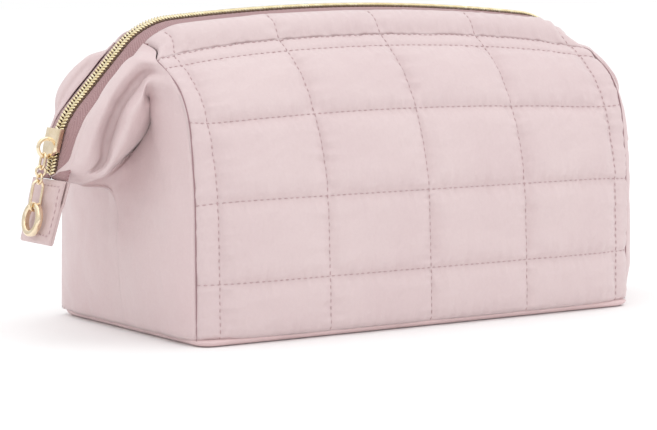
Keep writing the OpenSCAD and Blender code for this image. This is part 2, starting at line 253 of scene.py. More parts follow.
def tape_material():
    """Herringbone tape: ribs that slope one way and then the other across its width."""
    shader = Shader("tape_herringbone", Roughness=0.8, Sheen_Weight=0.15)
    parts = shader.node("ShaderNodeSeparateXYZ", {"Vector": shader.coordinates("UV")}).outputs
    across = shader.math("PINGPONG", parts["Y"], 0.0031)
    along = shader.math("ADD", parts["X"], shader.math("MULTIPLY", across, 1.4))
    ribs = shader.math("SINE", shader.math("MULTIPLY", along, 2 * math.pi / 0.00125))
    height = shader.math("ADD", shader.math("MULTIPLY", ribs, 0.5), 0.5)
    wear = shader.noise(shader.coordinates(), 400, 2)
    tone = shader.math("ADD", shader.math("MULTIPLY", height, 0.75), shader.math("MULTIPLY", wear, 0.25))
    colour = shader.ramp(tone, srgb(148, 110, 113), srgb(186, 150, 151), 0.15, 0.85)
    return shader.finish(colour, shader.bump(height, 0.5, 0.0004))


def thread_material(name, light, dark):
    shader = Shader(name, Roughness=0.6, Sheen_Weight=0.2)
    twist = shader.wave(shader.coordinates(), 2200, "DIAGONAL", 1.0)
    return shader.finish(shader.ramp(twist, dark, light), shader.bump(twist, 0.3, 0.0001))


def lining_material():
    """Plain woven lining, slightly shinier than the outside."""
    shader = Shader("lining_weave", Sheen_Weight=0.1)
    flat = shader.coordinates("UV")
    warp = shader.wave(flat, 1500, "X", 0.4)
    weft = shader.wave(flat, 1500, "Y", 0.4)
    weave = shader.math("MULTIPLY", warp, weft)
    cloud = shader.noise(shader.coordinates(), 40, 3)
    colour = shader.ramp(cloud, srgb(196, 164, 163), srgb(216, 188, 187), 0.3, 0.7)
    normal = shader.bump(cloud, 0.4, 0.002)
    rough = shader.math("ADD", shader.math("MULTIPLY", cloud, 0.1), 0.42)
    return shader.finish(colour, shader.bump(weave, 0.2, 0.0003, normal), rough)


def metal_material(name, light, dark, roughness):
    """Plated metal with hairline polish marks and slightly duller patches."""
    shader = Shader(name, Metallic=1.0)
    place = shader.coordinates()
    patch = shader.noise(place, 320, 3)
    hair = shader.noise(shader.stretched(place, (1.0, 1.0, 9.0)), 1500, 2)
    colour = shader.ramp(patch, dark, light, 0.3, 0.7)
    rough = shader.math("ADD", shader.math("MULTIPLY", patch, 0.12), roughness)
    return shader.finish(colour, shader.bump(hair, 0.08, 0.0001), rough)


SATIN = satin_material("satin_quilted", srgb(217, 198, 198), srgb(211, 190, 191), folds=1.7)
SATIN_PLAIN = satin_material("satin_plain", srgb(219, 200, 200), srgb(213, 190, 191), folds=1.3)
BASE_CLOTH = satin_material("satin_base", srgb(228, 202, 202), srgb(219, 192, 192))
LINING = lining_material()
TAPE = tape_material()
TAB_CLOTH = satin_material("tab_cloth", srgb(216, 193, 192), srgb(206, 181, 180), 1600)
# The stitches are real thread; their colour, darker than the cloth, paints the small shadows where each
# stitch pulls the cloth in.
THREAD = thread_material("thread", srgb(204, 176, 178), srgb(180, 148, 151))
# Dark pink for the beads sunk in the end seams: painted shade along the seam lines.
SEAM_SHADE_BEAD = thread_material("seam_shade_bead", srgb(170, 136, 140), srgb(146, 112, 116))
# Dark brown for the coil's sewing stitches: real thread, coloured to paint the shadows between the coil
# turns.
ZIP_THREAD_AND_SHADOW = thread_material("zip_thread_and_shadow", srgb(116, 88, 62), srgb(84, 60, 42))
GOLD = metal_material("gold_polished", srgb(248, 232, 206), srgb(236, 216, 182), 0.07)
COIL_GOLD = metal_material("gold_coil", srgb(246, 236, 204), srgb(224, 206, 162), 0.2)
STEEL = metal_material("spring_steel", srgb(206, 208, 212), srgb(182, 184, 188), 0.3)


# ---------------------------------------------------------------- mesh helpers


def unit(vectors):
    return vectors / np.maximum(np.linalg.norm(vectors, axis=-1, keepdims=True), 1e-9)


def make_object(name, vertices, faces, material, uvs=None):
    """A smooth mesh object from points in millimetres, with uvs in metres, one for each vertex."""
    mesh = bpy.data.meshes.new(name)
    mesh.from_pydata((np.asarray(vertices) * MM).tolist(), [], faces)
    mesh.materials.append(material)
    mesh.shade_smooth()
    if uvs is not None:
        layer = mesh.uv_layers.new(name="UVMap")
        corners = np.empty(len(mesh.loops), int)
        mesh.loops.foreach_get("vertex_index", corners)
        layer.data.foreach_set("uv", (np.asarray(uvs)[corners] * MM).ravel().astype(np.float32))
    made = bpy.data.objects.new(name, mesh)
    bpy.context.scene.collection.objects.link(made)
    return made


def grid_faces(rows, columns):
    return [
        (i * columns + j, i * columns + j + 1, (i + 1) * columns + j + 1, (i + 1) * columns + j)
        for i in range(rows - 1)
        for j in range(columns - 1)
    ]


def grid_uvs(points):
    """Distance along the rows and up the columns of a grid, through its middle."""
    rows, columns = points.shape[:2]
    across = np.linalg.norm(np.diff(points[rows // 2], axis=0), axis=1)
    up = np.linalg.norm(np.diff(points[:, columns // 2], axis=0), axis=1)
    u = np.concatenate([[0], np.cumsum(across)])
    v = np.concatenate([[0], np.cumsum(up)])
    return np.stack(np.meshgrid(u, v), -1)


def grid_normals(points):
    """Unit normals of a grid that runs to the right and upwards, out of its front."""
    return unit(np.cross(np.gradient(points, axis=1), np.gradient(points, axis=0)))


def sheet_object(name, points, material, thickness=0.0, flipped=False):
    """A grid of points as a sheet of cloth, thickened inwards."""
    rows, columns = points.shape[:2]
    faces = grid_faces(rows, columns)
    if flipped:
        faces = [face[::-1] for face in faces]
    made = make_object(name, points.reshape(-1, 3), faces, material, grid_uvs(points).reshape(-1, 2))
    if thickness:
        solid = made.modifiers.new("thickness", "SOLIDIFY")
        solid.thickness = thickness * MM
        solid.offset = -1
    return made


def smooth_curve(points, count):
    """Points along a smooth curve through a few points, evenly by their index."""
    points = np.asarray(points, float)
    last = len(points) - 1
    at = np.linspace(0, last, count)
    return spline(points, at)


def spline(points, at):
    """A curve through rows of points at places counted in rows."""
    points = np.asarray(points, float)
    last = len(points) - 1
    i = np.clip(np.floor(at).astype(int), 0, last - 1)
    t = (at - i).reshape((-1,) + (1,) * (points.ndim - 1))
    before = points[np.maximum(i - 1, 0)]
    a, b = points[i], points[i + 1]
    after = points[np.minimum(i + 2, last)]
    return 0.5 * (
        2 * a + (b - before) * t
        + (2 * before - 5 * a + 4 * b - after) * t ** 2
        + (3 * a - before - 3 * b + after) * t ** 3
    )


def ease(t):
    t = np.clip(t, 0, 1)
    return t * t * (3 - 2 * t)


def ripple(place, scale, seed=0.0):
    """Smooth noise between -1 and 1 at points in millimetres."""
    flat = np.asarray(place, float).reshape(-1, 3) / scale + seed
    values = np.array([noise.noise(Vector(p)) for p in flat])
    return values.reshape(np.asarray(place).shape[:-1])


def flip_y(points):
    return points * np.array([1, -1, 1])


def flip_x(points):
    return points * np.array([-1, 1, 1])


# ---------------------------------------------------------------- the zip's path

ARCH_RADIUS = 900.0
ARCH_HALF = 86.8
CORNER_RADIUS = 33.0
INCLINE = math.radians(47)
INCLINE_LENGTH = 29.0
BEND_RADIUS = 35.0
TAIL_SLOPE = math.radians(78)
TAIL_LENGTH = 12.0
TAPE_HALF_WIDTH = 12.5
COIL_HEIGHT = 1.9
MOUTH_HEIGHT = node_box("front_zip_coil")[1][2] - COIL_HEIGHT
ARCH_SLOPE = math.asin(ARCH_HALF / ARCH_RADIUS)
ZIP_RUNS = [
    (ARCH_RADIUS, ARCH_RADIUS * ARCH_SLOPE),
    (CORNER_RADIUS, CORNER_RADIUS * (INCLINE - ARCH_SLOPE)),
    (None, INCLINE_LENGTH),
    (BEND_RADIUS, BEND_RADIUS * (TAIL_SLOPE - INCLINE)),
    (None, TAIL_LENGTH),
]
ZIP_HALF = sum(length for _, length in ZIP_RUNS)


def zip_frame(distance):
    """X, Z and slope of the zip's middle line at a distance from its top, down to the left."""
    x, z, slope = 0.0, MOUTH_HEIGHT, 0.0
    for radius, length in ZIP_RUNS:
        step = min(distance, length)
        if radius:
            after = slope + step / radius
            x -= radius * (math.sin(after) - math.sin(slope))
            z += radius * (math.cos(after) - math.cos(slope))
            slope = after
        else:
            x -= step * math.cos(slope)
            z -= step * math.sin(slope)
        distance -= step
        if distance <= 0:
            break
    return x, z, slope


def zip_point(along, forward, height):
    """A point beside the zip. along is negative on the left of the top and positive on the right."""
    x, z, slope = zip_frame(abs(along))
    side = -1 if along > 0 else 1
    return np.array([side * (x - height * math.sin(slope)), -forward, z + height * math.cos(slope)])


# ---------------------------------------------------------------- quilted front and back

SEAM_X = 106.0
COLUMN_WIDTH = 48.3
COLUMN_LINES = [i * COLUMN_WIDTH for i in range(-2, 3)]
# Rows of the wall, as [depth, height], at the middle of the bag and at its end seams.
MIDDLE_ROWS = [
    (57.4, 2.2), (56.8, 23.3), (55, 54.8), (51.8, 71), (46, 86.3),
    (38, 100), (27.2, 110.6), (21.2, 115.2),
]
END_ROWS = [
    (52.4, 2.4), (52.4, 23.3), (52, 53.6), (50.7, 67.4), (48, 84.5),
    (41.5, 96.5), (31, 104), (25, 107.4),
]
END_X = [106, 106, 106, 106, 106, 106.2, 106.6, 106.6]
# The back wall rounds less into its end seams than the front wall.
BACK_SQUARENESS = 0.8
# The hem's rows lie beside the zip, as [forward, height above it], and end further along it.
HEM_ON_ZIP = [(17.2, -4.2), (11.6, -0.7)]
SEAM_ON_ZIP = 107.0
RIDGE_ROW, TOPSTITCH_ROW, HEM_ROW, TOP_ROW = 6, 7, 8, 9
QUILT_ROWS = [1, 2, 4]
ARCH_SHARE = [0, 0, 0, 0.25, 0.6, 0.85, 1, 1]
# The wall stays straight until close to its ends, then rounds into the end seams.
END_ROUNDING = 9.8
PUFF = 2.6
PUFF_REACH = 9.0
PUFF_CELL = 26.0
SEAM_DIP = 1.3
SEAM_DIP_REACH = 1.1


def row_curve(row, share, side="front"):
    """One row of the plain wall from its left end to its right end, as share runs from -1 to 1."""
    if row >= HEM_ROW:
        forward, height = HEM_ON_ZIP[row - HEM_ROW]
        return np.array([zip_point(part * SEAM_ON_ZIP, forward, height) for part in share])
    (middle_depth, middle_height), (end_depth, end_height) = MIDDLE_ROWS[row], END_ROWS[row]
    if side == "back":
        end_depth += (middle_depth - end_depth) * BACK_SQUARENESS
    x = share * END_X[row]
    weight = np.abs(share) ** END_ROUNDING
    arched = middle_height - ARCH_SHARE[row] * x ** 2 / (2 * ARCH_RADIUS)
    depth = middle_depth * (1 - weight) + end_depth * weight
    return np.stack([x, -depth, arched * (1 - weight) + end_height * weight], -1)


def wall_grid(row_from, row_to, step, side):
    """Points of a plain wall between two rows, as on the front."""
    share = np.linspace(-1, 1, int(round(2 * SEAM_X / step)) + 1)
    curves = np.array([row_curve(row, share, side) for row in range(TOP_ROW + 1)])
    rows_at = np.linspace(row_from, row_to, 200)
    middle = spline(curves[:, len(share) // 2], rows_at)
    lengths = np.concatenate([[0], np.cumsum(np.linalg.norm(np.diff(middle, axis=0), axis=1))])
    rows = int(round(lengths[-1] / step)) + 1
    at = np.interp(np.linspace(0, lengths[-1], rows), lengths, rows_at)
    return spline(curves, at)


def row_distance(row_from, row_to):
    """Distance up the middle of the wall between two rows."""
    rows = [row_curve(row, np.zeros(1))[0] for row in range(TOP_ROW + 1)]
    line = spline(rows, np.linspace(row_from, row_to, 60))
    return float(np.linalg.norm(np.diff(line, axis=0), axis=1).sum())


ROW_HEIGHTS = {row: row_distance(0, row) for row in range(1, 10)}
LINE_HEIGHTS = [ROW_HEIGHTS[row] for row in QUILT_ROWS] + [ROW_HEIGHTS[RIDGE_ROW], ROW_HEIGHTS[TOPSTITCH_ROW]]


def nearest(values, lines):
    """Distance of each value to the nearest line, and the width of the gap between lines it is in."""
    lines = np.array(sorted(lines))
    i = np.clip(np.searchsorted(lines, values) - 1, 0, len(lines) - 2)
    low, high = lines[i], lines[i + 1]
    return np.minimum(np.abs(values - low), np.abs(high - values)), high - low


PUFF_POWER = 2.6
SMALLEST_PUFF = 0.12
# Puckers start beside a stitched line, fade away from it and are drawn out along their own run.
PUCKER_RISE, PUCKER_FROM, PUCKER_FADE = 1.7, 0.8, 3.6
PUCKER_SCALE, PUCKER_STRETCH = 2.7, 0.16
# Slanting folds, as (rise, scale, noise seed).
CELL_FOLDS = [(0.55, 17, 1.7), (0.3, 7, 5.2)]
CELL_FOLD_REACH = 10


def puff_profile(distance, reach):
    """Rise of padded cloth from a stitched line: steep at first, then flat."""
    return 1 - (1 - np.clip(distance / reach, 0, 1)) ** PUFF_POWER


def quilt_rise(x, v):
    """How far the quilted cloth stands out, at a distance v up the wall."""
    column_gap, column_width = nearest(x, [-SEAM_X] + COLUMN_LINES + [SEAM_X])
    row_gap, row_width = nearest(v, [0] + LINE_HEIGHTS + [ROW_HEIGHTS[TOP_ROW]])
    cell = np.minimum(column_width, row_width)
    size = np.clip(cell / PUFF_CELL, SMALLEST_PUFF, 1)
    reach = np.minimum(PUFF_REACH, cell / 2)
    rise = PUFF * size * puff_profile(column_gap, reach) * puff_profile(row_gap, reach)
    # Short puckers run out from the stitches, square to each line.
    beside_row = np.exp(-row_gap / PUCKER_FADE) * (1 - np.exp(-row_gap / PUCKER_FROM))
    beside_column = np.exp(-column_gap / PUCKER_FADE) * (1 - np.exp(-column_gap / PUCKER_FROM))
    along_row = ripple(np.stack([x, v * PUCKER_STRETCH, 0 * x], -1), PUCKER_SCALE, 3.1)
    along_column = ripple(np.stack([x * PUCKER_STRETCH, v, 0 * x], -1), PUCKER_SCALE, 9.4)
    rise = rise + PUCKER_RISE * size ** 0.5 * (along_row * beside_row + along_column * beside_column)
    # Soft slanting folds cross each cell.
    fade = puff_profile(column_gap, CELL_FOLD_REACH) * puff_profile(row_gap, CELL_FOLD_REACH)
    slant = np.stack([x * 0.8 + v * 0.45, (v * 0.8 - x * 0.45) * 2.2, 0 * x], -1)
    for height, scale, seed in CELL_FOLDS:
        rise = rise + height * ripple(slant, scale, seed) * fade
    return rise


def seam_dip(distance):
    return -SEAM_DIP * np.exp(-(np.maximum(distance, 0) / SEAM_DIP_REACH) ** 2)


def quilted_grid(row_from, row_to, step, side):
    points = wall_grid(row_from, row_to, step, side)
    rows, columns = points.shape[:2]
    normals = grid_normals(points)
    start = row_distance(0, row_from) if row_from else 0.0
    v = start + np.linspace(0, row_distance(row_from, row_to), rows)[:, None] + np.zeros((1, columns))
    x = np.linspace(-SEAM_X, SEAM_X, columns)[None, :] + np.zeros((rows, 1))
    rise = quilt_rise(x, v)
    rise = rise + seam_dip(SEAM_X - np.abs(x)) + seam_dip(v)
    return points + rise[..., None] * normals, normals


QUILT_STEP = 0.74
STITCH_PITCH = 2.7
STITCH_LENGTH = 1.6
STITCH_RADIUS = 0.23
# How far a stitch sits above the cloth it is sewn through.
STITCH_LIFT = 0.12
SEAM_RADIUS = 0.3
SEAM_DEPTH = 0.6
# Heights on the walls from the stiff bag to the moving mouth; nothing here bends the walls between them.
BLEND_LOW, BLEND_HIGH = 60.0, 108.0
LINING_STEP = 4
LINING_DEPTH = 6.4
LINING_NARROWING = 0.975
PANEL_THICKNESS, LINING_THICKNESS = 1.0, 0.5


def bead(points, radius, sides=6):
    """Vertices and faces of a rounded bar through points."""
    points = np.asarray(points, float)
    count = len(points)
    ahead = unit(np.gradient(points, axis=0))
    helper = np.array([0.3, 0.2, 0.93])
    side = unit(np.cross(ahead, helper))
    up = np.cross(side, ahead)
    taper = np.sqrt(np.clip(1 - np.linspace(-1, 1, count) ** 4, 0.12, 1)) * radius
    angles = np.linspace(0, 2 * math.pi, sides, endpoint=False)
    ring = np.cos(angles)[None, :, None] * side[:, None] + np.sin(angles)[None, :, None] * up[:, None]
    vertices = (points[:, None] + ring * taper[:, None, None]).reshape(-1, 3)
    faces = [
        (i * sides + j, i * sides + (j + 1) % sides, (i + 1) * sides + (j + 1) % sides, (i + 1) * sides + j)
        for i in range(count - 1)
        for j in range(sides)
    ]
    faces.append(tuple(range(sides))[::-1])
    faces.append(tuple((count - 1) * sides + j for j in range(sides)))
    return vertices, faces


def joined(parts):
    """Many small vertex and face lists as one."""
    vertices, faces, offset = [], [], 0
    for part_vertices, part_faces in parts:
        vertices.append(part_vertices)
        faces += [tuple(i + offset for i in face) for face in part_faces]
        offset += len(part_vertices)
    return np.concatenate(vertices), faces


def stitches_along(line, pitch=STITCH_PITCH, length=STITCH_LENGTH, radius=STITCH_RADIUS):
    """A row of stitches along a line of points."""
    line = np.asarray(line, float)
    travel = np.concatenate([[0], np.cumsum(np.linalg.norm(np.diff(line, axis=0), axis=1))])
    parts = []
    for start in np.arange(pitch / 4, travel[-1] - length, pitch):
        at = np.linspace(start, start + length, 4)
        parts.append(bead(np.stack([np.interp(at, travel, line[:, k]) for k in range(3)], -1), radius, 5))
    return parts


def make_quilting(side, mirror):
    """One quilted wall with its hem band, stitching and lining."""
    shell, normals = quilted_grid(0, TOPSTITCH_ROW, QUILT_STEP, side)
    hem, _ = quilted_grid(TOPSTITCH_ROW, TOP_ROW, QUILT_STEP, side)
    lining = wall_grid(0, TOPSTITCH_ROW, LINING_STEP, side)
    lining = lining - LINING_DEPTH * grid_normals(lining)
    lining[..., 0] *= LINING_NARROWING
    mouth = side + "_mouth"
    flipped = side == "back"

    wall = sheet_object(side + "_quilted_wall", mirror(shell), SATIN, PANEL_THICKNESS, flipped)
    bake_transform(wall)
    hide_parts(*[side + "_" + part for part in ("panel", "panel_upper", "wadding", "wadding_upper")])

    band = sheet_object(side + "_hem_band", mirror(hem), SATIN, PANEL_THICKNESS, flipped)
    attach(band, mouth)
    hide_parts(side + "_hem")

    inside = sheet_object(side + "_lining_sheet", mirror(lining), LINING, LINING_THICKNESS, flipped)
    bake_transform(inside)
    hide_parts(side + "_lining", side + "_lining_upper")

    rows, columns = shell.shape[:2]
    seat = shell + STITCH_LIFT * normals
    x = seat[0, :, 0]
    v = np.linspace(0, ROW_HEIGHTS[TOPSTITCH_ROW], rows)
    lines = [seat[:, int(np.argmin(abs(x - at)))] for at in COLUMN_LINES]
    lines += [seat[int(np.argmin(abs(v - ROW_HEIGHTS[row])))] for row in QUILT_ROWS]
    lines.append(seat[int(np.argmin(abs(v - ROW_HEIGHTS[RIDGE_ROW])))])
    lines.append(seat[-2])
    parts = [stitch for line in lines for stitch in stitches_along(line)]
    thread = make_object(side + "_quilt_stitches", *mirrored_parts(parts, mirror), THREAD)
    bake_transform(thread)

    hem_seat = hem + STITCH_LIFT * grid_normals(hem)
    parts = [
        stitch
        for at in COLUMN_LINES
        for stitch in stitches_along(hem_seat[:, int(np.argmin(abs(hem_seat[0, :, 0] - at)))])
    ]
    hem_thread = make_object(side + "_hem_stitches", *mirrored_parts(parts, mirror), THREAD)
    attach(hem_thread, mouth)

    # A thin dark bead sunk into each end seam paints the shade of the seam line.
    parts = []
    for end in (-1.0, 1.0):
        rows_at = np.linspace(0, TOPSTITCH_ROW, 80)
        ends = np.array([row_curve(row, np.array([end]), side)[0] for row in range(TOP_ROW + 1)])
        seam = spline(ends, rows_at) - np.array([end * SEAM_DEPTH, -SEAM_DEPTH, 0])
        parts.append(bead(seam, SEAM_RADIUS))
    seam_shade_bead = make_object(side + "_end_seam_shade", *mirrored_parts(parts, mirror), SEAM_SHADE_BEAD)
    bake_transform(seam_shade_bead)


def mirrored_parts(parts, mirror):
    vertices, faces = joined(parts)
    return mirror(vertices), faces


# ---------------------------------------------------------------- end walls with their folds

# Lines across the left front quarter, from the foot up. Each starts at a row of the wall's end seam and
# has points from there to the middle of the bag's end.
GUSSET_LINES = [
    # foot
    (0.0, [(-107.6, -44, 2.2), (-107.8, -37, 2.2), (-107.8, -30, 2.2), (-107.8, -24, 2.2),
           (-107.8, -18, 2.2), (-107.8, -12, 2.2), (-107.8, -6, 2.2), (-107.8, 0, 2.2)]),
    # low
    (0.9, [(-108.2, -44, 21), (-108.8, -37, 21), (-109, -30, 21), (-109.1, -24, 21),
           (-109.2, -18, 21), (-109.3, -12, 21), (-109.3, -6, 21), (-109.3, 0, 21)]),
    # waist
    (1.5, [(-108.4, -43, 40), (-109.2, -35, 39), (-109.6, -28, 38), (-109.9, -22, 37.5),
           (-110.2, -16.5, 37), (-110.4, -11, 36.5), (-110.6, -5.5, 36), (-110.8, 0, 36)]),
    # chest
    (2.05, [(-108.4, -40, 57), (-109, -31, 56), (-109.2, -25, 54.5), (-109.6, -19, 53),
            (-109.8, -14, 51.5), (-110.1, -9.5, 50), (-110.6, -5, 48.8), (-111, 0, 48)]),
    # shoulder
    (3.1, [(-108.6, -34, 74), (-108.4, -27, 71), (-108, -21, 68), (-108.6, -16, 65),
           (-109.2, -11.5, 62.4), (-110.2, -8, 60.4), (-111.8, -4, 57.6), (-113.4, 0, 55)]),
    # tuck
    (3.9, [(-109.6, -28, 88), (-107.6, -22.5, 83.5), (-107, -18, 79), (-107.6, -13.5, 74.5),
           (-109, -9.5, 70), (-111, -6.5, 66), (-114.4, -3.5, 61.6), (-118, 0, 57)]),
    # inner fold
    (4.3, [(-109.4, -25.5, 92.5), (-104.6, -21.5, 91), (-102.6, -19, 87), (-102.6, -15.5, 82),
           (-104, -12, 77), (-107, -8, 72), (-114, -5, 65.5), (-124, 0, 57.6)]),
    # flap edge
    (4.6, [(-110.2, -25.6, 95.4), (-113.3, -28, 89.3), (-115.5, -28, 82.9), (-117.6, -27, 78),
           (-120.8, -25, 72.7), (-123.2, -21, 67.6), (-125.6, -17, 63.3), (-127, 0, 58.8)]),
    # second lobe
    (5.0, [(-110.4, -27.5, 99.6), (-115.6, -29.6, 94), (-120.2, -30.2, 88), (-123, -29, 81.2),
           (-125.2, -26.4, 74.6), (-126.2, -22, 67.4), (-129, -16.4, 63.2), (-130, 0, 59.6)]),
    # crease
    (5.7, [(-108.8, -22.4, 102.4), (-113.4, -20.4, 97.8), (-118.6, -19.4, 90.9), (-122, -18.6, 83.6),
           (-124.4, -17.8, 75.8), (-125.8, -17, 68.4), (-131.4, -14.6, 64), (-133, 0, 60.2)]),
    # first lobe
    (6.6, [(-112, -21, 106), (-119.4, -21.6, 100.4), (-125, -21.8, 93), (-129.4, -21.6, 85),
           (-132, -20.4, 77), (-133, -18.2, 70), (-135, -13.4, 65), (-136, 0, 61)]),
    # beside the tape
    (7.8, [(-112.4, -15.6, 107.8), (-119.4, -15.8, 102), (-125.6, -16, 94.4), (-130.4, -16.2, 86.4),
           (-134, -15.8, 78.2), (-135.9, -15, 71.2), (-137, -12.6, 66.4), (-138.2, 0, 61.8)]),
]
# The gusset's edge on the tape, as distances along, beside and above the zip.
TAPE_SEAM = [(-114.5, 11.6, -0.9), (-123, 11.4, -0.9), (-133, 11.4, -0.9), (-143, 11.4, -0.9),
             (-151, 11.4, -0.9), (-157, 11.2, -0.9), (-163.5, 9.8, -0.2), (-169.6, 0.2, 0.5)]
# Creases pressed between the lines, as [line, width in lines, depth, first and last column].
CREASES = [(9.0, 0.22, 2.0, 0.4, 7.2), (8.45, 0.13, 0.9, 4.6, 7.0), (11.4, 0.2, 0.7, 1.0, 7.4)]
FOLD_TOP, FOLD_TUCK = 96.0, 0.55
# Above this height the end seam lies open instead of pulling in.
SEAM_FADE = 104.0
# How much further the right end wall bulges, and below what height.
RIGHT_FULLNESS, FULL_TOP = 3.0, 104.0
GUSSET_COLUMNS, ROWS_PER_LINE = 90, 12
# Columns crowd towards the end seam, and the first of them are pulled onto it.
COLUMN_CROWDING, SEAM_PULL = 1.25, 1.5
GUSSET_THICKNESS = 0.7
# How far from the seam the right end wall's extra bulge takes to reach full height.
BULGE_REACH = 3.5
# Height above which the long soft wrinkles have died away.
WRINKLE_TOP = 76


def gusset_grid(columns, rows_per_line, side):
    """Points of the left front quarter with each point's line and column number."""
    ends = np.array([row_curve(row, np.array([-1.0]), side)[0] for row in range(TOP_ROW + 1)])
    lines = [
        [spline(ends, np.array([seam_row]))[0]] + list(points)
        for seam_row, points in GUSSET_LINES
    ]
    lines.append([ends[-1]] + [zip_point(*place) for place in TAPE_SEAM])
    lines = np.array(lines, float)
    column_at = np.linspace(0, 1, columns) ** COLUMN_CROWDING * (lines.shape[1] - 1)
    line_at = np.linspace(0, len(lines) - 1, (len(lines) - 1) * rows_per_line + 1)
    curves = np.array([spline(line, column_at) for line in lines])
    points = spline(curves, line_at)
    seam_rows = [seam_row for seam_row, _ in GUSSET_LINES] + [float(TOP_ROW)]
    seam = spline(ends, np.interp(line_at, np.arange(len(seam_rows)), seam_rows))
    points = points + (seam - points[:, 0])[:, None] * (1 - ease(column_at / SEAM_PULL))[None, :, None]
    return points, line_at[:, None], column_at[None, :]


def make_gusset(end, side, mirror):
    """Half of an end wall, from the quilted wall's seam to the middle, with the folds above it."""
    points, line, column = gusset_grid(GUSSET_COLUMNS, ROWS_PER_LINE, side)
    if (end, side) != ("left", "front"):
        # The front fold beside the slider stands out further than the other three.
        beyond = np.minimum(points[..., 1] + TAPE_HALF_WIDTH, 0)
        low = ease((FOLD_TOP - points[..., 2]) / 14) * ease(line - 4.5) * ease(column)
        points[..., 1] -= beyond * low * FOLD_TUCK
        points[..., 0] += 2.5 * low * ease(-beyond / 6)
    if end == "right":
        # This end wall is fuller than the left one.
        low = ease((FULL_TOP - points[..., 2]) / 24) * ease(line / 0.9)
        from_seam = np.linalg.norm(points - points[:, :1], axis=-1)
        points[..., 0] -= RIGHT_FULLNESS * low * ease(from_seam / BULGE_REACH)
    # The grid is turned so that its columns run to the right, seen from outside.
    points, column = points[:, ::-1], column[:, ::-1]
    normals = grid_normals(points)
    seam_distance = np.linalg.norm(points - points[:, -1:], axis=-1)
    foot_distance = points[..., 2] - points[0, :, 2][None, :]
    low_wall = ease((WRINKLE_TOP - points[..., 2]) / 20)
    soft = 1.5 * ripple(points * np.array([0.3, 0.8, 1.3]), 21, 4.0)
    soft = soft * ease(seam_distance / 18) * low_wall
    fine = 0.35 * ripple(points, 7, 8.0) * ease(seam_distance / 6)
    seam = seam_dip(seam_distance) * ease((SEAM_FADE - points[..., 2]) / 8)
    rise = soft * ease(foot_distance / 12) + fine + seam + seam_dip(foot_distance)
    for at, width, depth, first, last in CREASES:
        reach = ease((column - first) / 1.2) * ease((last - column) / 0.8)
        rise = rise - depth * np.exp(-((line - at) / width) ** 2) * reach
    points = points + rise[..., None] * normals
    flipped = (end == "right") != (side == "back")
    name = end + "_" + side + "_gusset"
    wall = sheet_object(name, mirror(points), SATIN_PLAIN, GUSSET_THICKNESS, flipped)
    sign = -1 if end == "right" else 1
    seam = np.array([-sign * SEAM_X, 0, 0])
    low = seam + np.array([0, 0, BLEND_LOW])
    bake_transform(wall)
    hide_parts(end + "_gusset", end + "_gusset_lining", end + "_bellows_" + side)


# ---------------------------------------------------------------- zip

# The casing of the frame wire on the inside, as distances beside and above the zip, and its half length.
FACING_SECTION = [(21.0, -18.6), (15.5, -15.6), (9.4, -12.6), (8.7, -8.4), (9.0, -4.2), (11.2, -1.8)]
FACING_HALF = 141.5
# Beyond the hem's ends the casing narrows to a sleeve round the wire.
FACING_SLEEVE = (14.8, -11.6)
FACING_NARROWS = 96.0
FACING_NARROWING = 12
# The part of the section that narrows lies further from the zip than this, beside and below it.
FACING_INNER, FACING_UNDER = 9.4, 12


def make_facing(side, mirror):
    """The strip of lining that closes the mouth hem over its wire on the inside."""
    section = smooth_curve(FACING_SECTION, 26)
    along = np.linspace(-FACING_HALF, FACING_HALF, 181)
    sleeve = np.array(FACING_SLEEVE)
    points = []
    for place in section:
        low = ease((place[0] - FACING_INNER) / 4) * ease((-place[1] - FACING_UNDER) / 2)
        row = []
        for d in along:
            narrowed = ease((abs(d) - FACING_NARROWS) / FACING_NARROWING)
            u, h = place + (sleeve - place) * low * narrowed
            row.append(zip_point(d, u, h))
        points.append(row)
    points = np.array(points)
    facing = sheet_object(side + "_hem_facing", mirror(points), LINING, LINING_THICKNESS, side != "back")
    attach(facing, side + "_mouth")


TAPE_THICKNESS = 0.6
TAPE_HEIGHT = 0.3
# Distance from the zip where the tape starts to fall away, and how far it falls.
TAPE_LEVEL, TAPE_FALL = 5.2, 2.2


def make_tape(side, mirror):
    along = np.linspace(-ZIP_HALF, ZIP_HALF, 261)
    widths = np.array([0.9, 3, TAPE_LEVEL, 7.6, 10, TAPE_HALF_WIDTH])
    points = []
    for u in widths:
        row = []
        for d in along:
            tail = ease((abs(d) - ZIP_HALF + TAIL_LENGTH) / TAIL_LENGTH)
            beyond = max(u - TAPE_LEVEL, 0)
            fall = TAPE_FALL * (1 - 0.9 * tail) * beyond / (TAPE_HALF_WIDTH - TAPE_LEVEL)
            row.append(zip_point(d, u, TAPE_HEIGHT - fall))
        points.append(row)
    points = np.array(points)[::-1]
    tape = sheet_object(side + "_tape", mirror(points), TAPE, TAPE_THICKNESS, side == "back")
    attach(tape, side + "_mouth")
    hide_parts(side + "_zip_tape")


TOOTH_PITCH = 1.3
TOOTH_RADIUS = 0.5
# One coil turn, as distances along, beside and above the zip.
COIL_TURN = [(0.75, 3.1, 0.45), (0.5, 2.95, 1.15), (0.15, 2.2, 1.62), (-0.3, 1.1, 1.5), (-0.6, 0.1, 1.15)]
COIL_END = ZIP_HALF - 2
COIL_SEWING = (3.45, 0.55)
COIL_SEWING_PITCH = 2.2
COIL_SEWING_LENGTH = 2.1
COIL_SEWING_RADIUS = 0.32


